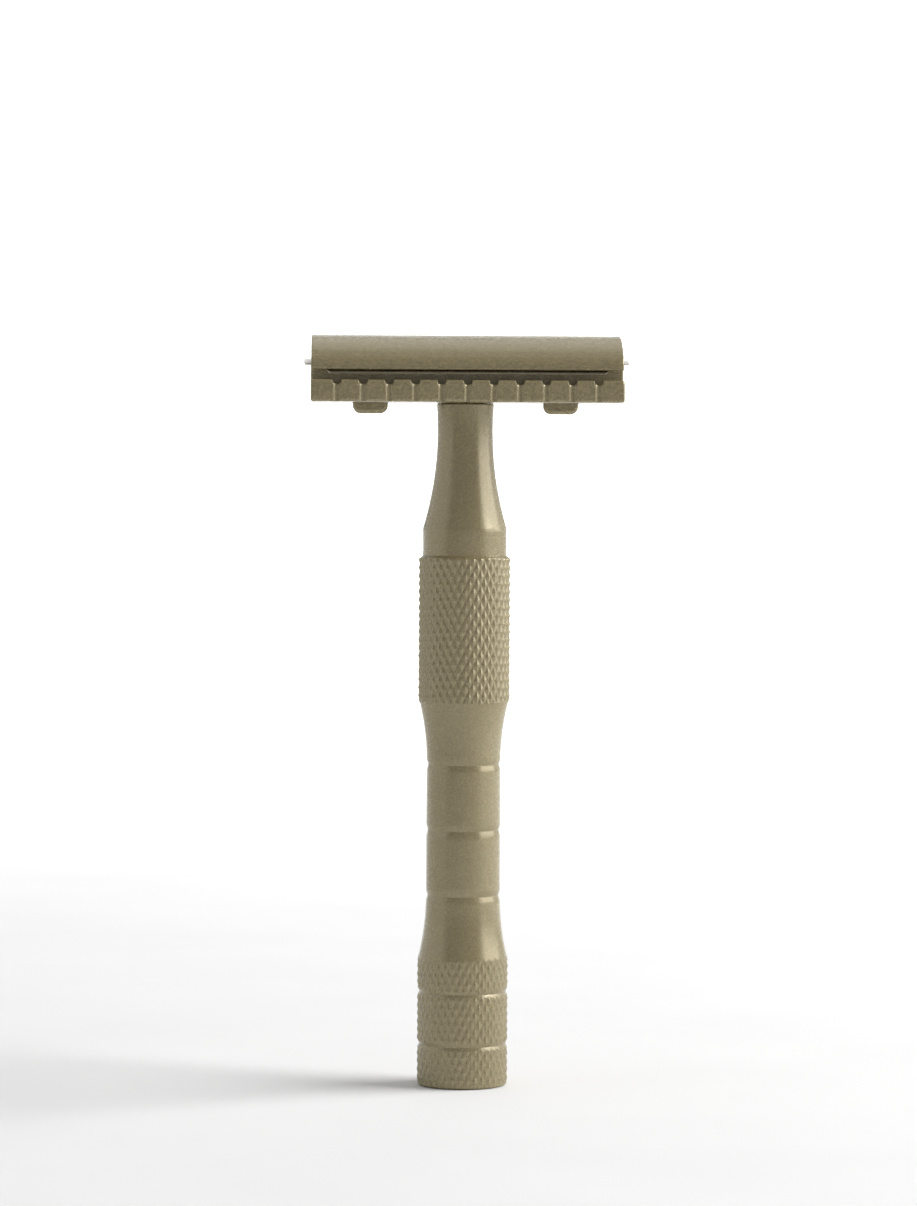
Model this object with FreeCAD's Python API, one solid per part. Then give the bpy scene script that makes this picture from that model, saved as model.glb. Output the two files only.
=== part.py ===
import FreeCAD, Part
import math
import os

# Three-piece double-edge safety razor, closed, with its blade in place.
# Millimetres. +Z is up the handle, +X is along the head and -Y is the front.
# The origin is the centre of the flat end that the razor stands on.
# One STEP file is written for each separate piece.

V = FreeCAD.Vector
UP = V(0, 0, 1)
ALONG = V(1, 0, 0)
ORIGIN = V(0, 0, 0)

# Blade: the standard double-edge size, bent over the base plate's crown.
BLADE_LENGTH = 43.0
BLADE_WIDTH = 22.0
BLADE_THICK = 0.1
BLADE_EDGE_LENGTH = 36.9
BLADE_TAB_WIDTH = 13.0
BLADE_TAB_ROUND = 0.5
BLADE_CUT_X = 0.45
BLADE_CUT_Y = 1.0
BEVEL_WIDTH = 0.28
BEND_R = 28.6
BEND_TOP_Z = 96.97
BEND_CENTRE_Z = BEND_TOP_Z - BEND_R
SEAT_GAP = 0.06
BLADE_HALF_Y = BEND_R * math.sin(BLADE_WIDTH / 2 / BEND_R)

# Cap.
CAP_HALF_LENGTH = 20.55
CAP_HALF_DEPTH = 10.0
CAP_TOP_Z = 100.2
CAP_ARC_R = 15.5
CAP_LIP_ROUND = 0.25
CAP_END_ROUND = 0.2
SEAT_R = BEND_R + BLADE_THICK / 2 + SEAT_GAP
SEAT_HALF_Y = CAP_HALF_DEPTH - CAP_LIP_ROUND - 0.05

# Two lugs under the cap pass through the blade and the base plate.
LUG_X = 12.68
LUG_LENGTH = 4.7
LUG_THICK = 3.0
LUG_BOTTOM_Z = 89.7
LUG_CORNER = 1.1
LUG_SIDE_ROUND = 0.5
LUG_CLEARANCE = 0.15

# Base plate: a crowned bed between two scalloped safety bars.
PLATE_HALF_LENGTH = 20.6
PLATE_BOTTOM_Z = 91.2
BED_HALF_Y = 8.0
CROWN_R = BEND_R - BLADE_THICK / 2 - SEAT_GAP
GULLET_Z = 92.8
GULLET_ROUND = 0.5
BAR_TOP_Z = 94.1
BAR_INNER_Y = 9.75
BAR_FRONT_Y = 11.3
BAR_INNER_ROUND = 0.35
BAR_OUTER_ROUND = 0.5
BAR_BOTTOM_ROUND = 0.35
BAR_END_ROUND = 0.3
FLUTE_COUNT = 11
FLUTE_PITCH = 3.43
FLUTE_R = 0.6
FLUTE_TOP_DEPTH = 0.58
FLUTE_FRONT_DEPTH = 0.23
FLUTE_BEND = 0.9

# Screw thread, 5 mm by 0.8 mm, right-handed, cut with clearance.
PITCH = 0.8
STUD_CREST_R = 2.45
STUD_ROOT_R = 1.99
CREST_FLAT = PITCH / 8
FLANK_GAP = 0.12
HOLE_CREST_R = 2.08
HOLE_ROOT_R = 2.53
STUD_TIP_Z = 84.3
STUD_THREAD_TOP_Z = 94.9
STUD_HEAD_R = 2.5
STUD_HEAD_DEPTH = 2.0
STUD_TIP_CHAMFER = 0.45
STUD_PASS_R = 2.8

# Handle, as radii at heights.
FOOT_R = 6.07
FOOT_ROUND = 0.6
LOW_GRIP_TOP_Z = 16.65
WAIST_R = 4.925
WAIST_LOW_Z = 25.5
WAIST_HIGH_Z = 43.0
HIGH_GRIP_R = 6.15
HIGH_GRIP_LOW_Z = 51.6
HIGH_GRIP_TOP_Z = 70.4
FLARE_TOP_R = 5.9
FLARE_TOP_Z = 51.15
SHOULDER_R = 5.625
SHOULDER_LOW_Z = 70.9
SHOULDER_TOP_Z = 74.5
NECK_R = 3.705
NECK_Z = 87.4
HANDLE_TOP_Z = 91.15
HANDLE_TOP_CHAMFER = 0.2
WAIST_GROOVES_Z = (WAIST_LOW_Z, (WAIST_LOW_Z + WAIST_HIGH_Z) / 2, WAIST_HIGH_Z)
WAIST_GROOVE_WIDTH = 1.35
WAIST_GROOVE_DEPTH = 0.18
GRIP_GROOVES_Z = (5.6, 12.6)
GRIP_GROOVE_WIDTH = 1.3
GRIP_GROOVE_DEPTH = 0.3
TAP_DEPTH = 9.6
TAP_MOUTH_R = 2.75

# The handle is drilled out from below and closed by a pressed plug.
BORE_R = 3.5
BORE_TOP_Z = 66.0
PLUG_LENGTH = 6.0
PLUG_CHAMFER = 0.3


def line(a, b):
    return Part.LineSegment(a, b).toShape()


def arc(a, middle, b):
    return Part.Arc(a, middle, b).toShape()


def yz(y, z):
    return V(0, y, z)


def xz(x, z):
    return V(x, 0, z)


def circle_z(radius, centre_z, y):
    """Height at y of a circle about the head's long axis."""
    return centre_z + math.sqrt(radius * radius - y * y)


def round_corner(centre, radius, from_deg, to_deg, point):
    """Arc about centre; point turns the two plane coordinates into a vector."""
    ends = []
    for degrees in (from_deg, (from_deg + to_deg) / 2, to_deg):
        a = math.radians(degrees)
        ends.append(point(centre[0] + radius * math.cos(a), centre[1] + radius * math.sin(a)))
    return arc(ends[0], ends[1], ends[2])


def loop(edges):
    """Face inside a chain of edges, with straight edges filling its gaps."""
    chain = []
    for index, edge in enumerate(edges):
        following = edges[(index + 1) % len(edges)]
        end = edge.lastVertex(True).Point
        start = following.firstVertex(True).Point
        chain.append(edge)
        if end.distanceToPoint(start) > 1e-6:
            chain.append(line(end, start))
    return Part.Face(Part.Wire(Part.__sortEdges__(chain)))


def along_head(face, half_length):
    moved = face.copy()
    moved.translate(V(-half_length, 0, 0))
    return moved.extrude(V(2 * half_length, 0, 0))


def cylinder(radius, low_z, high_z):
    return Part.makeCylinder(radius, high_z - low_z, V(0, 0, low_z), UP)


def block(half_x, half_y, low_z, high_z, x=0.0):
    corner = V(x - half_x, -half_y, low_z)
    return Part.makeBox(2 * half_x, 2 * half_y, high_z - low_z, corner)


def round_edges(shape, radius, wanted):
    chosen = [edge for edge in shape.Edges if wanted(edge)]
    return shape.makeFillet(radius, chosen)


def is_upright(edge):
    a, b = edge.firstVertex().Point, edge.lastVertex().Point
    return abs(a.x - b.x) < 1e-6 and abs(a.y - b.y) < 1e-6 and abs(a.z - b.z) > 1e-6


def ring_groove(radius, z, width, depth):
    """V-shaped ring to cut from a turned surface of the given radius."""
    reach = 0.5
    slope = width / 2 / depth
    half = slope * (depth + reach)
    points = [
        xz(radius - depth, z),
        xz(radius + reach, z + half),
        xz(radius + reach, z - half),
        xz(radius - depth, z),
    ]
    return Part.Face(Part.makePolygon(points)).revolve(ORIGIN, UP, 360)


def helical_cutter(inner_r, outer_r, inner_width, outer_width, low_z, high_z):
    """Solid that follows the thread's helix, with a flat-flanked section."""
    path = Part.makeHelix(PITCH, high_z - low_z, inner_r)
    path.translate(V(0, 0, low_z))
    section = Part.makePolygon([
        xz(inner_r, low_z - inner_width / 2),
        xz(outer_r, low_z - outer_width / 2),
        xz(outer_r, low_z + outer_width / 2),
        xz(inner_r, low_z + inner_width / 2),
        xz(inner_r, low_z - inner_width / 2),
    ])
    return Part.Wire(path).makePipeShell([Part.Wire(section)], True, True)


def tooth_width(radius):
    """Axial width of the stud's thread at a radius, for 60 degree flanks."""
    return CREST_FLAT + 2 * math.tan(math.radians(30)) * (STUD_CREST_R - radius)


def make_cap():
    lip_z = circle_z(SEAT_R, BEND_CENTRE_Z, SEAT_HALF_Y)
    lip_y = CAP_HALF_DEPTH - CAP_LIP_ROUND
    side_z = lip_z + CAP_LIP_ROUND
    arc_z = CAP_TOP_Z - CAP_ARC_R
    rise = side_z - arc_z
    side_r = (CAP_ARC_R ** 2 - CAP_HALF_DEPTH ** 2 - rise ** 2) / (2 * (CAP_ARC_R - CAP_HALF_DEPTH))
    side_y = CAP_HALF_DEPTH - side_r
    meet = math.degrees(math.atan2(rise, side_y))
    section = loop([
        round_corner((side_y, side_z), side_r, 0, meet, yz),
        round_corner((0, arc_z), CAP_ARC_R, meet, 180 - meet, yz),
        round_corner((-side_y, side_z), side_r, 180 - meet, 180, yz),
        round_corner((-lip_y, side_z), CAP_LIP_ROUND, 180, 270, yz),
        arc(yz(-SEAT_HALF_Y, lip_z), yz(0, BEND_CENTRE_Z + SEAT_R), yz(SEAT_HALF_Y, lip_z)),
        round_corner((lip_y, side_z), CAP_LIP_ROUND, 270, 360, yz),
    ])
    body = along_head(section, CAP_HALF_LENGTH)

    def at_outer_end(edge):
        box = edge.BoundBox
        at_end = abs(abs(box.Center.x) - CAP_HALF_LENGTH) < 1e-6 and box.XLength < 1e-6
        return at_end and box.ZMax > side_z + 0.01

    body = round_edges(body, CAP_END_ROUND, at_outer_end)
    for side in (-1, 1):
        body = body.fuse(make_lug(side * LUG_X))
    socket = cylinder(STUD_HEAD_R, BEND_TOP_Z - 1, BEND_TOP_Z + STUD_HEAD_DEPTH)
    return body.cut(socket).removeSplitter()


def make_lug(x):
    half = LUG_LENGTH / 2
    top_z = BEND_TOP_Z + 1
    bend_z = LUG_BOTTOM_Z + LUG_CORNER
    inset = half - LUG_CORNER
    side = loop([
        line(xz(x - half, top_z), xz(x - half, bend_z)),
        round_corner((x - inset, bend_z), LUG_CORNER, 180, 270, xz),
        round_corner((x + inset, bend_z), LUG_CORNER, 270, 360, xz),
        line(xz(x + half, bend_z), xz(x + half, top_z)),
    ])
    side.translate(V(0, -LUG_THICK / 2, 0))
    lug = side.extrude(V(0, LUG_THICK, 0))
    return round_edges(lug, LUG_SIDE_ROUND, is_upright)


def make_stud():
    rod = cylinder(STUD_CREST_R, STUD_TIP_Z, STUD_THREAD_TOP_Z + PITCH)
    point = cylinder(STUD_CREST_R, STUD_TIP_Z, STUD_TIP_Z + STUD_TIP_CHAMFER)
    cone = Part.makeCone(
        STUD_CREST_R - STUD_TIP_CHAMFER, STUD_CREST_R, STUD_TIP_CHAMFER, V(0, 0, STUD_TIP_Z), UP)
    rod = rod.cut(point).fuse(cone)
    outer_r = STUD_CREST_R + 0.05
    groove = helical_cutter(
        STUD_ROOT_R, outer_r, PITCH - tooth_width(STUD_ROOT_R), PITCH - tooth_width(outer_r),
        STUD_TIP_Z - PITCH, STUD_THREAD_TOP_Z)
    threaded = rod.cut(groove)
    head_top_z = BEND_TOP_Z + STUD_HEAD_DEPTH
    head = cylinder(STUD_HEAD_R, STUD_THREAD_TOP_Z + PITCH, head_top_z)
    return threaded.fuse(head).removeSplitter()


def make_blade():
    tip_z = circle_z(BEND_R, BEND_CENTRE_Z, BLADE_HALF_Y)
    flat_y = BLADE_HALF_Y - BEVEL_WIDTH
    over_r = BEND_R + BLADE_THICK / 2
    under_r = BEND_R - BLADE_THICK / 2
    over_z = circle_z(over_r, BEND_CENTRE_Z, flat_y)
    under_z = circle_z(under_r, BEND_CENTRE_Z, flat_y)
    section = loop([
        arc(yz(flat_y, over_z), yz(0, BEND_CENTRE_Z + over_r), yz(-flat_y, over_z)),
        line(yz(-flat_y, over_z), yz(-BLADE_HALF_Y, tip_z)),
        line(yz(-BLADE_HALF_Y, tip_z), yz(-flat_y, under_z)),
        arc(yz(-flat_y, under_z), yz(0, BEND_CENTRE_Z + under_r), yz(flat_y, under_z)),
        line(yz(flat_y, under_z), yz(BLADE_HALF_Y, tip_z)),
    ])
    sheet = along_head(section, BLADE_LENGTH / 2)
    low_z = BEND_TOP_Z - 6
    high_z = BEND_TOP_Z + 2
    middle = block(BLADE_EDGE_LENGTH / 2, BLADE_HALF_Y + 1, low_z, high_z)
    middle = middle.cut(blade_corners(low_z, high_z))
    tabs = block(BLADE_LENGTH / 2, BLADE_TAB_WIDTH / 2, low_z, high_z)
    tabs = round_edges(tabs, BLADE_TAB_ROUND, is_upright)
    return sheet.common(middle.fuse(tabs)).cut(blade_holes(low_z, high_z)).removeSplitter()


def blade_corners(low_z, high_z):
    """The four small slanted corners beside the cutting edges."""
    pieces = []
    for side_x in (-1, 1):
        for side_y in (-1, 1):
            x = side_x * BLADE_EDGE_LENGTH / 2
            y = side_y * BLADE_HALF_Y
            points = [
                V(x - side_x * BLADE_CUT_X, y, low_z),
                V(x, y - side_y * BLADE_CUT_Y, low_z),
                V(x + side_x, y - side_y * BLADE_CUT_Y, low_z),
                V(x + side_x, y + 2 * side_y, low_z),
                V(x - side_x * BLADE_CUT_X, y + 2 * side_y, low_z),
                V(x - side_x * BLADE_CUT_X, y, low_z),
            ]
            corner = Part.Face(Part.makePolygon(points))
            pieces.append(corner.extrude(V(0, 0, high_z - low_z)))
    return pieces[0].fuse(pieces[1:])


def blade_holes(low_z, high_z):
    """Long middle slot that widens round the stud and round each lug."""
    slot_half = BLADE_EDGE_LENGTH / 2 - 2.5
    slot = block(slot_half, 0.95, low_z, high_z)
    slot = round_edges(slot, 0.6, is_upright)
    centre = cylinder(3.25, low_z, high_z)
    wells = []
    for side in (-1, 1):
        well = block(LUG_LENGTH / 2 + 0.3, LUG_THICK / 2 + 0.25, low_z, high_z, side * LUG_X)
        wells.append(round_edges(well, 0.7, is_upright))
    return slot.fuse([centre] + wells)


def plate_section():
    crown_z = circle_z(CROWN_R, BEND_CENTRE_Z, BED_HALF_Y)
    deep_y = BED_HALF_Y + GULLET_ROUND
    deep_z = GULLET_Z + GULLET_ROUND
    inner_y = BAR_INNER_Y + BAR_INNER_ROUND
    inner_z = BAR_TOP_Z - BAR_INNER_ROUND
    outer_y = BAR_FRONT_Y - BAR_OUTER_ROUND
    outer_z = BAR_TOP_Z - BAR_OUTER_ROUND
    low_y = BAR_FRONT_Y - BAR_BOTTOM_ROUND
    low_z = PLATE_BOTTOM_Z + BAR_BOTTOM_ROUND
    far_y = BAR_INNER_Y - GULLET_ROUND
    front = [
        round_corner((-deep_y, deep_z), GULLET_ROUND, 0, -90, yz),
        round_corner((-far_y, deep_z), GULLET_ROUND, -90, -180, yz),
        round_corner((-inner_y, inner_z), BAR_INNER_ROUND, 0, 90, yz),
        round_corner((-outer_y, outer_z), BAR_OUTER_ROUND, 90, 180, yz),
        round_corner((-low_y, low_z), BAR_BOTTOM_ROUND, 180, 270, yz),
    ]
    back = [
        round_corner((low_y, low_z), BAR_BOTTOM_ROUND, 270, 360, yz),
        round_corner((outer_y, outer_z), BAR_OUTER_ROUND, 0, 90, yz),
        round_corner((inner_y, inner_z), BAR_INNER_ROUND, 90, 180, yz),
        round_corner((far_y, deep_z), GULLET_ROUND, 0, -90, yz),
        round_corner((deep_y, deep_z), GULLET_ROUND, -90, -180, yz),
    ]
    crown = arc(yz(BED_HALF_Y, crown_z), yz(0, BEND_CENTRE_Z + CROWN_R), yz(-BED_HALF_Y, crown_z))
    return loop([crown] + front + back)


def flute_cutter(x, side):
    """Round-bottomed groove over the top of a bar and down its front."""
    axis_z = BAR_TOP_Z - FLUTE_TOP_DEPTH + FLUTE_R
    axis_y = BAR_FRONT_Y - FLUTE_FRONT_DEPTH + FLUTE_R
    bend = FLUTE_BEND
    start_y = BED_HALF_Y + 0.7
    end_z = PLATE_BOTTOM_Z - 1

    def point(y, z):
        return V(x, side * y, z)

    path = Part.Wire([
        line(point(start_y, axis_z), point(axis_y - bend, axis_z)),
        round_corner((axis_y - bend, axis_z - bend), bend, 90, 0, point),
        line(point(axis_y, axis_z - bend), point(axis_y, end_z)),
    ])
    ring = Part.Wire(Part.Circle(point(start_y, axis_z), V(0, 1, 0), FLUTE_R).toShape())
    return path.makePipeShell([ring], True, False)


def make_plate():
    body = along_head(plate_section(), PLATE_HALF_LENGTH)

    def at_bar_end(edge):
        box = edge.BoundBox
        at_end = abs(abs(box.Center.x) - PLATE_HALF_LENGTH) < 1e-6 and box.XLength < 1e-6
        return at_end and abs(box.Center.y) > BAR_FRONT_Y - 0.6 and box.ZLength > 1e-3

    body = round_edges(body, BAR_END_ROUND, at_bar_end)
    cutters = []
    for index in range(FLUTE_COUNT):
        x = (index - (FLUTE_COUNT - 1) / 2) * FLUTE_PITCH
        cutters.append(flute_cutter(x, -1))
        cutters.append(flute_cutter(x, 1))
    body = body.cut(cutters)
    holes = [cylinder(STUD_PASS_R, PLATE_BOTTOM_Z - 1, CAP_TOP_Z)]
    for side in (-1, 1):
        slot = block(
            LUG_LENGTH / 2 + LUG_CLEARANCE, LUG_THICK / 2 + LUG_CLEARANCE,
            PLATE_BOTTOM_Z - 1, CAP_TOP_Z, side * LUG_X)
        holes.append(round_edges(slot, LUG_SIDE_ROUND, is_upright))
    return body.cut(holes).removeSplitter()


def flare(foot_r, foot_z, tangent_r, tangent_z):
    """Arc from a foot to the height where it runs parallel to the axis."""
    rise = foot_z - tangent_z
    step = foot_r - tangent_r
    radius = (rise * rise + step * step) / (2 * step)
    half_rise = rise / 2
    middle_r = tangent_r + radius - math.sqrt(radius * radius - half_rise * half_rise)
    return arc(xz(foot_r, foot_z), xz(middle_r, tangent_z + half_rise), xz(tangent_r, tangent_z))


def handle_profile():
    neck_step = SHOULDER_R - NECK_R
    neck_rise = NECK_Z - SHOULDER_TOP_Z
    neck_arc_r = (neck_rise ** 2 + neck_step ** 2) / (2 * neck_step)
    top_rise = HANDLE_TOP_Z - HANDLE_TOP_CHAMFER - NECK_Z
    top_r = NECK_R + neck_arc_r - math.sqrt(neck_arc_r ** 2 - top_rise ** 2)
    edges = [
        line(xz(0, 0), xz(FOOT_R - FOOT_ROUND, 0)),
        round_corner((FOOT_R - FOOT_ROUND, FOOT_ROUND), FOOT_ROUND, 270, 360, xz),
        line(xz(FOOT_R, FOOT_ROUND), xz(FOOT_R, LOW_GRIP_TOP_Z)),
        flare(FOOT_R, LOW_GRIP_TOP_Z, WAIST_R, WAIST_LOW_Z),
        line(xz(WAIST_R, WAIST_LOW_Z), xz(WAIST_R, WAIST_HIGH_Z)),
        flare(FLARE_TOP_R, FLARE_TOP_Z, WAIST_R, WAIST_HIGH_Z),
        line(xz(FLARE_TOP_R, FLARE_TOP_Z), xz(HIGH_GRIP_R, HIGH_GRIP_LOW_Z)),
        line(xz(HIGH_GRIP_R, HIGH_GRIP_LOW_Z), xz(HIGH_GRIP_R, HIGH_GRIP_TOP_Z)),
        line(xz(HIGH_GRIP_R, HIGH_GRIP_TOP_Z), xz(SHOULDER_R, SHOULDER_LOW_Z)),
        line(xz(SHOULDER_R, SHOULDER_LOW_Z), xz(SHOULDER_R, SHOULDER_TOP_Z)),
        flare(SHOULDER_R, SHOULDER_TOP_Z, NECK_R, NECK_Z),
        flare(top_r, HANDLE_TOP_Z - HANDLE_TOP_CHAMFER, NECK_R, NECK_Z),
        line(xz(top_r, HANDLE_TOP_Z - HANDLE_TOP_CHAMFER),
             xz(top_r - HANDLE_TOP_CHAMFER, HANDLE_TOP_Z)),
        line(xz(top_r - HANDLE_TOP_CHAMFER, HANDLE_TOP_Z), xz(0, HANDLE_TOP_Z)),
        line(xz(0, HANDLE_TOP_Z), xz(0, 0)),
    ]
    return Part.Face(Part.Wire(Part.__sortEdges__(edges)))


def make_handle():
    body = handle_profile().revolve(ORIGIN, UP, 360)
    for z in WAIST_GROOVES_Z:
        body = body.cut(ring_groove(WAIST_R, z, WAIST_GROOVE_WIDTH, WAIST_GROOVE_DEPTH))
    for z in GRIP_GROOVES_Z:
        body = body.cut(ring_groove(FOOT_R, z, GRIP_GROOVE_WIDTH, GRIP_GROOVE_DEPTH))
    body = body.cut(cylinder(BORE_R, -1, BORE_TOP_Z))
    tap_floor_z = HANDLE_TOP_Z - TAP_DEPTH
    body = body.cut(cylinder(HOLE_CREST_R, tap_floor_z, HANDLE_TOP_Z + 1))
    mouth_height = TAP_MOUTH_R - HOLE_CREST_R
    mouth = Part.makeCone(
        HOLE_CREST_R, TAP_MOUTH_R + 0.5, mouth_height + 0.5,
        V(0, 0, HANDLE_TOP_Z - mouth_height), UP)
    body = body.cut(mouth)
    inner_r = HOLE_CREST_R - 0.05
    groove = helical_cutter(
        inner_r, HOLE_ROOT_R, tooth_width(inner_r) + FLANK_GAP, tooth_width(HOLE_ROOT_R) + FLANK_GAP,
        thread_phase_z(tap_floor_z + 1.0), HANDLE_TOP_Z + PITCH)
    return body.cut(groove).removeSplitter()


def thread_phase_z(above_z):
    """First height above above_z where the stud's tooth crosses the +X side."""
    tooth_z = STUD_TIP_Z - PITCH / 2
    return tooth_z + math.ceil((above_z - tooth_z) / PITCH) * PITCH


def make_plug():
    plug = cylinder(BORE_R, 0, PLUG_LENGTH)
    point = Part.makeCone(
        BORE_R, BORE_R - PLUG_CHAMFER, PLUG_CHAMFER, V(0, 0, PLUG_LENGTH - PLUG_CHAMFER), UP)
    return plug.cut(cylinder(BORE_R, PLUG_LENGTH - PLUG_CHAMFER, PLUG_LENGTH + 1)).fuse(point)


PIECES = {
    "cap": make_cap,
    "cap_stud": make_stud,
    "blade": make_blade,
    "base_plate": make_plate,
    "handle": make_handle,
    "handle_plug": make_plug,
}

for name, make in PIECES.items():
    shape = make()
    solids = shape.Solids
    if len(solids) != 1 or not shape.isValid():
        raise SystemExit(name + ": " + str(len(solids)) + " solids, valid " + str(shape.isValid()))
    solids[0].exportStep("parts/" + name + ".step")
    box = solids[0].BoundBox
    print(name, round(solids[0].Volume, 2), "mm3", [round(value, 2) for value in (
        box.XMin, box.YMin, box.ZMin, box.XMax, box.YMax, box.ZMax)])
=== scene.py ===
import math

import bpy
from mathutils import Matrix, Vector


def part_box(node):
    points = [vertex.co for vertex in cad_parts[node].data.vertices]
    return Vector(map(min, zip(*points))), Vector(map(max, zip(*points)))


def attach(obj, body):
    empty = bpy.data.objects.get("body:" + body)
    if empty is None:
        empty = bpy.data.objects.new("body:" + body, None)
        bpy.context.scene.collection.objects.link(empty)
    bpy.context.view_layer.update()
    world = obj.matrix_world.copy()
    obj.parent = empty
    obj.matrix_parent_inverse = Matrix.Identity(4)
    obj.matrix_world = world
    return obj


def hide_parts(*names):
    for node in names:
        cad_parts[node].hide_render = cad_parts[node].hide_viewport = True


# Three-piece safety razor. The sizes below are in millimetres and the studio's are in metres.
MM = 0.001

# Image frame and camera. Distance and height in metres, angles in degrees.
IMAGE_WIDTH = 917
IMAGE_HEIGHT = 1206
SENSOR_HEIGHT = 24.0
LENS = 89.3
CAMERA_DISTANCE = 0.5988
CAMERA_HEIGHT = 0.0848
CAMERA_YAW = 1.7
CAMERA_PITCH = 1.941
CAMERA_ROLL = 0.30
CAMERA_AIM_LEFT = 0.075
CLIP_NEAR = 0.01
CLIP_FAR = 20.0

# Turned handle, from the foot up: radii, and the heights where the outline changes.
FOOT_R = 6.07
FOOT_ROUND = 0.6
FOOT_ROUND_STEPS = 5
LOW_GRIP_TOP = 16.65
WAIST_R = 4.925
WAIST_LOW = 25.5
WAIST_HIGH = 43.0
FLARE_TOP_R = 5.9
FLARE_TOP = 51.15
HIGH_GRIP_R = 6.15
HIGH_GRIP_LOW = 51.6
HIGH_GRIP_TOP = 70.4
SHOULDER_R = 5.625
SHOULDER_LOW = 70.9
SHOULDER_TOP = 74.5
NECK_R = 3.705
NECK_Z = 87.4
TOP_CHAMFER = 0.2

# V grooves round the waist and the low grip: middle heights, widths and depths.
WAIST_GROOVES = (WAIST_LOW, (WAIST_LOW + WAIST_HIGH) / 2, WAIST_HIGH)
WAIST_GROOVE_WIDTH = 1.35
WAIST_GROOVE_DEPTH = 0.18
GRIP_GROOVES = (5.6, 12.6)
GRIP_GROOVE_WIDTH = 1.3
GRIP_GROOVE_DEPTH = 0.3

# Diamond knurling. KNURL_CELL is half a diamond's height, and from its point to each of its
# corners a diamond is KNURL_STEPS mesh cells. The run-outs are how far it goes past each grip.
KNURL_STARTS = 36
KNURL_CELL = 1.065
KNURL_STEPS = 4
LOW_KNURL_DEPTH = 0.16
HIGH_KNURL_DEPTH = 0.2
KNURL_HOLLOW = 1.5
LOW_KNURL_RUNOUT = 1.7
HIGH_KNURL_RUNOUT = 0.5
COLUMNS = KNURL_STARTS * 2 * KNURL_STEPS

# Tapped hole in the top and drilled bore in the foot.
THREAD_PITCH = 0.8
TAP_CREST_R = 2.08
TAP_ROOT_R = 2.53
TAP_MOUTH_R = 2.75
TAP_MOUTH_STEPS = 4
TAP_DEPTH = 9.6
TAP_STEPS_PER_TURN = 6
TAP_FLANK_SLOPE = 1.3
TAP_CREST_FLAT = 0.15
BORE_R = 3.5
BORE_TOP = 66.0

# Mesh of the handle: rings are never closer than this, and edges sharper than this stay crisp.
SMALLEST_RING_GAP = 0.03
FIRST_CUT_RING = 0.05
TOP_RING_MARGIN = 0.4
SHARP_DEGREES = 22.0

# Coating: how far the shaded edges are rounded, and how the grain is drawn out along x, y and z,
# where less than 1 is longer.
EDGE_MM = 0.07
PLATE_EDGE_MM = 0.15
EVEN_GRAIN = (1.0, 1.0, 1.0)
PLATE_GRAIN = (0.6, 1.0, 0.6)
CAP_GRAIN = (0.35, 1.0, 1.0)
GRAIN_SHARE = 0.75

# Floor that sweeps up into a wall, in metres.
FLOOR_HALF = 2.5
FLOOR_BEND_R = 0.6
FLOOR_BEND_STEPS = 12
FLOOR_BACK_Y = 2.2
WALL_TOP = 2.0
WORLD_GREY = 0.34


# ---------------------------------------------------------------- materials

def new_material(name):
    """Material with its node tree emptied down to a shader and an output."""
    material = bpy.data.materials.new(name)
    material.use_nodes = True
    tree = material.node_tree
    tree.nodes.clear()
    output = tree.nodes.new("ShaderNodeOutputMaterial")
    shader = tree.nodes.new("ShaderNodeBsdfPrincipled")
    tree.links.new(shader.outputs["BSDF"], output.inputs["Surface"])
    return material, tree, shader


def object_place(tree):
    """Coordinates that stay with the piece."""
    return tree.nodes.new("ShaderNodeTexCoord").outputs["Object"]


def noise(tree, coordinates, size_mm, detail=2.0, stretch=(1.0, 1.0, 1.0)):
    """Noise whose blobs are about size_mm across, stretched along an axis if asked."""
    mapping = tree.nodes.new("ShaderNodeMapping")
    mapping.inputs["Scale"].default_value = stretch
    tree.links.new(coordinates, mapping.inputs["Vector"])
    texture = tree.nodes.new("ShaderNodeTexNoise")
    texture.inputs["Scale"].default_value = 1.0 / (size_mm * MM)
    texture.inputs["Detail"].default_value = detail
    tree.links.new(mapping.outputs["Vector"], texture.inputs["Vector"])
    return texture.outputs["Fac"]


def ramp(tree, value, low, high):
    """Colour ramp from low to high over the middle of a noise's range."""
    node = tree.nodes.new("ShaderNodeValToRGB")
    node.color_ramp.elements[0].position = 0.32
    node.color_ramp.elements[0].color = low
    node.color_ramp.elements[1].position = 0.68
    node.color_ramp.elements[1].color = high
    tree.links.new(value, node.inputs["Fac"])
    return node.outputs["Color"]


def spread(tree, value, low, high):
    """Maps a noise's middle range to low..high."""
    node = tree.nodes.new("ShaderNodeMapRange")
    node.inputs["From Min"].default_value = 0.3
    node.inputs["From Max"].default_value = 0.7
    node.inputs["To Min"].default_value = low
    node.inputs["To Max"].default_value = high
    tree.links.new(value, node.inputs["Value"])
    return node.outputs["Result"]


def mix_colours(tree, a, b, share_of_b):
    """Mixes two colours by a fixed share."""
    node = tree.nodes.new("ShaderNodeMix")
    node.data_type = "RGBA"
    node.inputs["Factor"].default_value = share_of_b
    tree.links.new(a, node.inputs["A"])
    tree.links.new(b, node.inputs["B"])
    return node.outputs["Result"]


def bump(tree, height, distance_mm, strength, normal=None):
    """Bumped normal, on top of another normal if one is given."""
    node = tree.nodes.new("ShaderNodeBump")
    node.inputs["Distance"].default_value = distance_mm * MM
    node.inputs["Strength"].default_value = strength
    tree.links.new(height, node.inputs["Height"])
    if normal is not None:
        tree.links.new(normal, node.inputs["Normal"])
    return node.outputs["Normal"]


def softened_edges(tree, radius_mm):
    """Normal that rounds the edges in the shading."""
    node = tree.nodes.new("ShaderNodeBevel")
    node.samples = 4
    node.inputs["Radius"].default_value = radius_mm * MM
    return node.outputs["Normal"]


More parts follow.
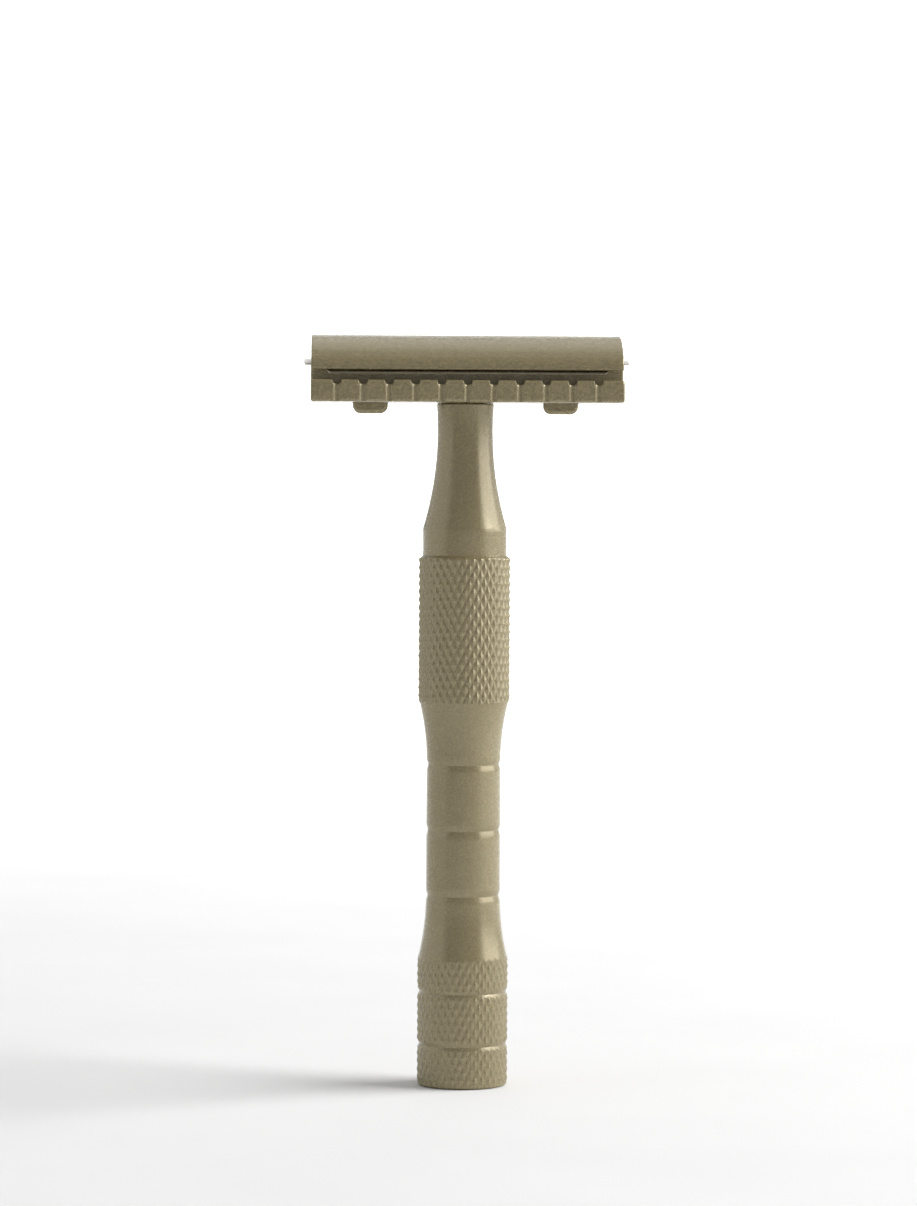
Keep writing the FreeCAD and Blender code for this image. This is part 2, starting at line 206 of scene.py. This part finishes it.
def coated_metal(name, stretch, edge_mm):
    """Khaki satin coating on metal, with a fine powdery grain and softened edges."""
    material, tree, shader = new_material(name)
    place = object_place(tree)
    clouds = noise(tree, place, 1.6, 3.0)
    cloudy = ramp(tree, clouds, (0.256, 0.215, 0.114, 1), (0.280, 0.230, 0.118, 1))
    grain = noise(tree, place, 0.16, 4.0, stretch)
    grainy = ramp(tree, grain, (0.180, 0.151, 0.074, 1), (0.356, 0.294, 0.160, 1))
    tree.links.new(mix_colours(tree, cloudy, grainy, GRAIN_SHARE), shader.inputs["Base Color"])
    sheen = noise(tree, place, 0.3, 3.0, stretch)
    tree.links.new(spread(tree, sheen, 0.22, 0.30), shader.inputs["Roughness"])
    powder = noise(tree, place, 0.09, 2.0, stretch)
    normal = bump(tree, powder, 0.004, 0.35, softened_edges(tree, edge_mm))
    tree.links.new(normal, shader.inputs["Normal"])
    shader.inputs["Metallic"].default_value = 0.3
    shader.inputs["Specular IOR Level"].default_value = 1.0
    return material


def blade_steel():
    """Steel with faint rolling lines along the blade; its colour is darkened and tinted warm as a
    painted reflection of the khaki cap and the shade under it.
    """
    material, tree, shader = new_material("blade_steel")
    lines = noise(tree, object_place(tree), 0.12, 3.0, stretch=(0.04, 1.0, 1.0))
    # Painted reflection: the darker, warm brown tint of both ramp colours stands for the khaki cap and
    # the shade under it mirrored in the blade. The faint lines are the steel's own.
    tone = ramp(tree, lines, (0.42, 0.39, 0.34, 1), (0.53, 0.50, 0.43, 1))
    tree.links.new(tone, shader.inputs["Base Color"])
    tree.links.new(spread(tree, lines, 0.20, 0.30), shader.inputs["Roughness"])
    tree.links.new(bump(tree, lines, 0.002, 0.3), shader.inputs["Normal"])
    shader.inputs["Metallic"].default_value = 1.0
    return material


def stud_steel():
    """Turned steel: fine rings round the stud and a little variation."""
    material, tree, shader = new_material("stud_steel")
    rings = noise(tree, object_place(tree), 0.08, 2.0, stretch=(0.1, 0.1, 1.0))
    tone = ramp(tree, rings, (0.40, 0.39, 0.37, 1), (0.55, 0.54, 0.51, 1))
    tree.links.new(tone, shader.inputs["Base Color"])
    tree.links.new(spread(tree, rings, 0.22, 0.38), shader.inputs["Roughness"])
    tree.links.new(bump(tree, rings, 0.003, 0.3), shader.inputs["Normal"])
    shader.inputs["Metallic"].default_value = 1.0
    return material


def pale_floor():
    """Matt white board with faint tones."""
    material, tree, shader = new_material("pale_floor")
    clouds = noise(tree, object_place(tree), 40.0, 2.0)
    tone = ramp(tree, clouds, (0.78, 0.78, 0.78, 1), (0.80, 0.80, 0.80, 1))
    tree.links.new(tone, shader.inputs["Base Color"])
    shader.inputs["Roughness"].default_value = 0.9
    shader.inputs["Specular IOR Level"].default_value = 0.1
    return material


def paint(node, material):
    """Gives a CAD node one material on every slot."""
    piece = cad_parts[node]
    if not piece.material_slots:
        piece.data.materials.append(material)
    for slot in piece.material_slots:
        slot.material = material


# ---------------------------------------------------------------- handle

def flare(z, foot_r, foot_z, tangent_r, tangent_z):
    """Radius of an arc that starts at a foot and runs parallel to the axis at tangent_z."""
    rise = foot_z - tangent_z
    step = foot_r - tangent_r
    sweep = (rise * rise + step * step) / (2 * step)
    return tangent_r + sweep - math.sqrt(sweep * sweep - (z - tangent_z) ** 2)


def between(z, z0, r0, z1, r1):
    """Radius of a cone that passes through two given radii."""
    return r0 + (r1 - r0) * (z - z0) / (z1 - z0)


def neck_radius(z, top_z):
    """The neck's arc above the shoulder, and the chamfer at its top."""
    chamfer_z = top_z - TOP_CHAMFER
    arc_r = flare(min(z, chamfer_z), SHOULDER_R, SHOULDER_TOP, NECK_R, NECK_Z)
    return arc_r - max(z - chamfer_z, 0.0)


def smooth_radius(z, top_z):
    """The handle's outline before grooves and knurling."""
    if z < FOOT_ROUND:
        return FOOT_R - FOOT_ROUND + math.sqrt(FOOT_ROUND ** 2 - (FOOT_ROUND - z) ** 2)
    if z <= LOW_GRIP_TOP:
        return FOOT_R
    if z <= WAIST_LOW:
        return flare(z, FOOT_R, LOW_GRIP_TOP, WAIST_R, WAIST_LOW)
    if z <= WAIST_HIGH:
        return WAIST_R
    if z <= FLARE_TOP:
        return flare(z, FLARE_TOP_R, FLARE_TOP, WAIST_R, WAIST_HIGH)
    if z <= HIGH_GRIP_LOW:
        return between(z, FLARE_TOP, FLARE_TOP_R, HIGH_GRIP_LOW, HIGH_GRIP_R)
    if z <= HIGH_GRIP_TOP:
        return HIGH_GRIP_R
    if z <= SHOULDER_LOW:
        return between(z, HIGH_GRIP_TOP, HIGH_GRIP_R, SHOULDER_LOW, SHOULDER_R)
    if z <= SHOULDER_TOP:
        return SHOULDER_R
    return neck_radius(z, top_z)


def groove_radius(z, middle, surface_r, width, depth):
    """V groove; far from the groove it is larger than any radius of the handle."""
    return surface_r - depth + abs(z - middle) * depth / (width / 2)


def turned_radius(z, top_z):
    """The handle's outline before knurling."""
    radius = smooth_radius(z, top_z)
    for middle in WAIST_GROOVES:
        radius = min(radius, groove_radius(z, middle, WAIST_R, WAIST_GROOVE_WIDTH, WAIST_GROOVE_DEPTH))
    for middle in GRIP_GROOVES:
        radius = min(radius, groove_radius(z, middle, FOOT_R, GRIP_GROOVE_WIDTH, GRIP_GROOVE_DEPTH))
    return radius


def knurl_radius(column, z, crest_r, depth):
    """Small four-sided points on a diamond lattice, steep at the point and flatter in the valleys."""
    across = column / KNURL_STEPS
    along = z / KNURL_CELL
    low_x = math.floor(across)
    low_y = math.floor(along)
    nearest = 1.0
    for x in (low_x, low_x + 1):
        for y in (low_y, low_y + 1):
            if (x + y) % 2 == 0:
                nearest = min(nearest, abs(across - x) + abs(along - y))
    return crest_r - depth * (1 - (1 - nearest) ** KNURL_HOLLOW)


def knurled(z):
    """Crest radius and depth where the knurling tool has been, or None."""
    if z < LOW_GRIP_TOP + LOW_KNURL_RUNOUT:
        return FOOT_R, LOW_KNURL_DEPTH
    if FLARE_TOP - HIGH_KNURL_RUNOUT < z < SHOULDER_LOW:
        return HIGH_GRIP_R, HIGH_KNURL_DEPTH
    return None


def outline_corners(top_z):
    """Heights of every edge on the outside, and of the rings round the foot's rounded edge."""
    heights = {0.0, LOW_GRIP_TOP, WAIST_LOW, WAIST_HIGH, FLARE_TOP, HIGH_GRIP_LOW, HIGH_GRIP_TOP}
    heights |= {SHOULDER_LOW, SHOULDER_TOP, top_z - TOP_CHAMFER, top_z}
    for step in range(1, FOOT_ROUND_STEPS + 1):
        heights.add(FOOT_ROUND * (1 - math.cos(math.radians(90 * step / FOOT_ROUND_STEPS))))
    for middle in WAIST_GROOVES:
        heights |= {middle - WAIST_GROOVE_WIDTH / 2, middle, middle + WAIST_GROOVE_WIDTH / 2}
    for middle in GRIP_GROOVES:
        heights |= {middle - GRIP_GROOVE_WIDTH / 2, middle, middle + GRIP_GROOVE_WIDTH / 2}
    return heights


def outside_heights(top_z):
    """Heights of the rings up the outside: at every edge, and close together on the grips."""
    heights = outline_corners(top_z)
    row = KNURL_CELL / KNURL_STEPS
    for index in range(int(top_z / row) + 1):
        z = index * row
        cut = z > FIRST_CUT_RING and knurled(z) is not None
        plain = index % 2 == 0 and FOOT_ROUND < z < top_z - TOP_RING_MARGIN
        if cut or plain:
            heights.add(z)
    ordered = sorted(heights)
    kept = [ordered[0]]
    for z in ordered[1:]:
        if z - kept[-1] > SMALLEST_RING_GAP:
            kept.append(z)
    return kept


def tap_radius(column, z):
    """Internal thread: a helix of flat-flanked grooves."""
    turn = z / THREAD_PITCH - column / COLUMNS
    wave = abs((turn % 1.0) * 2 - 1)
    cut = min(max(wave * TAP_FLANK_SLOPE - TAP_CREST_FLAT, 0.0), 1.0)
    return TAP_CREST_R + (TAP_ROOT_R - TAP_CREST_R) * cut


def ring(radius_at, z):
    """One ring of points; radius_at gives the radius for a column."""
    points = []
    for column in range(COLUMNS):
        angle = 2 * math.pi * column / COLUMNS
        radius = radius_at(column) * MM
        points.append((radius * math.cos(angle), radius * math.sin(angle), z * MM))
    return points


def outside_ring(z, top_z):
    """A ring of the outside, and whether the knurling cuts it."""
    outline = turned_radius(z, top_z)
    band = knurled(z)
    if band is None:
        return ring(lambda c: outline, z), False
    crest, depth = band
    return ring(lambda c: min(outline, knurl_radius(c, z, crest, depth)), z), True


def tapped_hole_rings(top_z):
    """Rings down the tapped hole, from its countersunk mouth to its flat bottom."""
    rings = [ring(lambda c: TAP_MOUTH_R, top_z)]
    rise = THREAD_PITCH / TAP_STEPS_PER_TURN
    for index in range(TAP_MOUTH_STEPS, int(TAP_DEPTH / rise)):
        z = top_z - index * rise
        rings.append(ring(lambda c: tap_radius(c, z), z))
    rings.append(ring(lambda c: TAP_CREST_R, top_z - TAP_DEPTH))
    return rings


def handle_rings(top_z):
    """Rings down the bore, up the outside and down the tapped hole, each with its knurled flag."""
    rings = [(ring(lambda c: BORE_R, z), False) for z in (BORE_TOP, 0.0)]
    rings += [outside_ring(z, top_z) for z in outside_heights(top_z)]
    rings += [(positions, False) for positions in tapped_hole_rings(top_z)]
    return rings


def cell_faces(lower, upper, start, cut):
    """Faces between two rings: quads, or where knurled, triangles that meet on the lower diagonal."""
    reach_lower = [math.hypot(x, y) for x, y, _ in lower]
    reach_upper = [math.hypot(x, y) for x, y, _ in upper]
    faces = []
    for column in range(COLUMNS):
        after = (column + 1) % COLUMNS
        a = start + column
        b = start + after
        c = start + COLUMNS + after
        d = start + COLUMNS + column
        if not cut:
            faces.append((a, b, c, d))
        elif reach_lower[column] + reach_upper[after] < reach_lower[after] + reach_upper[column]:
            faces.extend([(a, b, c), (a, c, d)])
        else:
            faces.extend([(a, b, d), (b, c, d)])
    return faces


def mark_sharp(mesh, degrees):
    """Marks edges whose faces meet at more than an angle."""
    normals = {}
    for polygon in mesh.polygons:
        for key in polygon.edge_keys:
            normals.setdefault(key, []).append(polygon.normal)
    limit = math.cos(math.radians(degrees))
    for edge in mesh.edges:
        sides = normals.get(tuple(sorted(edge.vertices)), [])
        if len(sides) == 2 and sides[0].dot(sides[1]) < limit:
            edge.use_edge_sharp = True


def handle_mesh(top_z):
    """One closed surface, ended by a disc in the bore and a disc in the tapped hole."""
    rings = handle_rings(top_z)
    bore_end = tuple(reversed(range(COLUMNS)))
    tap_end = tuple(range((len(rings) - 1) * COLUMNS, len(rings) * COLUMNS))
    points = []
    faces = [bore_end, tap_end]
    for positions, _ in rings:
        points.extend(positions)
    for index in range(len(rings) - 1):
        lower, lower_cut = rings[index]
        upper, upper_cut = rings[index + 1]
        faces += cell_faces(lower, upper, index * COLUMNS, lower_cut and upper_cut)
    mesh = bpy.data.meshes.new("handle_turned")
    mesh.from_pydata(points, [], faces)
    mesh.validate()
    mesh.polygons.foreach_set("use_smooth", [True] * len(faces))
    mark_sharp(mesh, SHARP_DEGREES)
    return mesh


def make_handle(material):
    """Turned and knurled handle, in place of the CAD handle with its plain bands."""
    mesh = handle_mesh(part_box("handle")[1][2] / MM)
    mesh.materials.append(material)
    piece = bpy.data.objects.new("handle_turned", mesh)
    bpy.context.scene.collection.objects.link(piece)
    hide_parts("handle")
    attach(piece, "handle_body")
    return piece


# ---------------------------------------------------------------- studio

def make_floor(material):
    """Floor that sweeps up behind the object into a wall."""
    bend_y = FLOOR_BACK_Y - FLOOR_BEND_R
    outline = [(-FLOOR_HALF, 0.0), (bend_y, 0.0)]
    for step in range(1, FLOOR_BEND_STEPS + 1):
        angle = math.radians(90 * step / FLOOR_BEND_STEPS)
        y = bend_y + FLOOR_BEND_R * math.sin(angle)
        z = FLOOR_BEND_R - FLOOR_BEND_R * math.cos(angle)
        outline.append((y, z))
    outline.append((FLOOR_BACK_Y, WALL_TOP))
    points = []
    for y, z in outline:
        points.append((-FLOOR_HALF, y, z))
        points.append((FLOOR_HALF, y, z))
    faces = [(2 * i, 2 * i + 1, 2 * i + 3, 2 * i + 2) for i in range(len(outline) - 1)]
    mesh = bpy.data.meshes.new("floor_sweep")
    mesh.from_pydata(points, [], faces)
    mesh.polygons.foreach_set("use_smooth", [True] * len(faces))
    mesh.materials.append(material)
    floor = bpy.data.objects.new("floor_sweep", mesh)
    bpy.context.scene.collection.objects.link(floor)
    return floor


def make_softbox(name, place, target, size, watts, spread_degrees=180.0):
    """Rectangular area light of a given width and height that faces a target."""
    light = bpy.data.lights.new(name, "AREA")
    light.shape = "RECTANGLE"
    light.size, light.size_y = size
    light.energy = watts
    light.spread = math.radians(spread_degrees)
    box = bpy.data.objects.new(name, light)
    box.location = place
    box.rotation_euler = (Vector(target) - Vector(place)).to_track_quat("-Z", "Y").to_euler()
    bpy.context.scene.collection.objects.link(box)
    return box


def make_lights():
    """Bright boxes on the right, a weak one on the left, one behind, and one for the backdrop."""
    razor = (0.0, 0.0, 0.06)
    above = (0.0, 0.0, 0.35)
    make_softbox("softbox_right", (0.834, -0.095, 0.35), above, size=(0.88, 0.5), watts=3.6)
    make_softbox("softbox_right_high", (0.9, 0.03, 0.85), razor, size=(0.95, 0.5), watts=14.0)
    make_softbox("softbox_right_back", (0.7, 0.53, 0.3), (0.0, 0.0, 0.3), size=(0.7, 0.5), watts=0.7)
    make_softbox("softbox_left", (-0.9, 0.15, 0.4), (0.0, 0.0, 0.4), size=(1.8, 1.0), watts=3.0)
    make_softbox("softbox_back", (0.0, 0.8, 0.95), razor, size=(1.2, 0.6), watts=1.3)
    make_softbox("backdrop_wash", (0.0, 1.45, 1.2), (0.0, 1.6, 0.0), size=(1.2, 1.3), watts=20.0,
                 spread_degrees=90.0)


def make_world():
    """Even grey light from all round."""
    world = bpy.data.worlds.new("studio")
    world.use_nodes = True
    background = world.node_tree.nodes["Background"]
    background.inputs["Color"].default_value = (WORLD_GREY, WORLD_GREY, WORLD_GREY, 1)
    background.inputs["Strength"].default_value = 1.0
    bpy.context.scene.world = world


def make_camera():
    """Camera in front of the razor, a little to its left, looking slightly down."""
    camera = bpy.data.cameras.new("camera")
    camera.sensor_fit = "VERTICAL"
    camera.sensor_height = SENSOR_HEIGHT
    camera.sensor_width = SENSOR_HEIGHT * IMAGE_WIDTH / IMAGE_HEIGHT
    camera.lens = LENS
    camera.clip_start = CLIP_NEAR
    camera.clip_end = CLIP_FAR
    holder = bpy.data.objects.new("camera", camera)
    yaw = math.radians(CAMERA_YAW)
    x = -CAMERA_DISTANCE * math.sin(yaw)
    y = -CAMERA_DISTANCE * math.cos(yaw)
    place = Matrix.Translation((x, y, CAMERA_HEIGHT))
    turn = Matrix.Rotation(math.radians(CAMERA_AIM_LEFT) - yaw, 4, "Z")
    tilt = Matrix.Rotation(math.radians(90 - CAMERA_PITCH), 4, "X")
    roll = Matrix.Rotation(math.radians(CAMERA_ROLL), 4, "Z")
    holder.matrix_world = place @ turn @ tilt @ roll
    bpy.context.scene.collection.objects.link(holder)
    bpy.context.scene.camera = holder


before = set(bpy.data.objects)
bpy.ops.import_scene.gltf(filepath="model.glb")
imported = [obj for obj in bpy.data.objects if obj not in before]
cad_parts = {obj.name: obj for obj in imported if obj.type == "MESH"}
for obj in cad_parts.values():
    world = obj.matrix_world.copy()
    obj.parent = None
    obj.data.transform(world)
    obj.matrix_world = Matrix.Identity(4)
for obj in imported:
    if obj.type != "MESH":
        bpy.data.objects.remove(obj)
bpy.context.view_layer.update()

coating = coated_metal("khaki_coating", EVEN_GRAIN, EDGE_MM)
paint("handle_plug", coating)
paint("base_plate", coated_metal("plate_coating", PLATE_GRAIN, PLATE_EDGE_MM))
paint("cap", coated_metal("cap_coating", CAP_GRAIN, EDGE_MM))
paint("blade", blade_steel())
paint("cap_stud", stud_steel())
make_handle(coating)

make_floor(pale_floor())
make_lights()
make_world()
make_camera()
bpy.context.scene.view_settings.view_transform = "Standard"
bpy.context.scene.view_settings.look = "None"
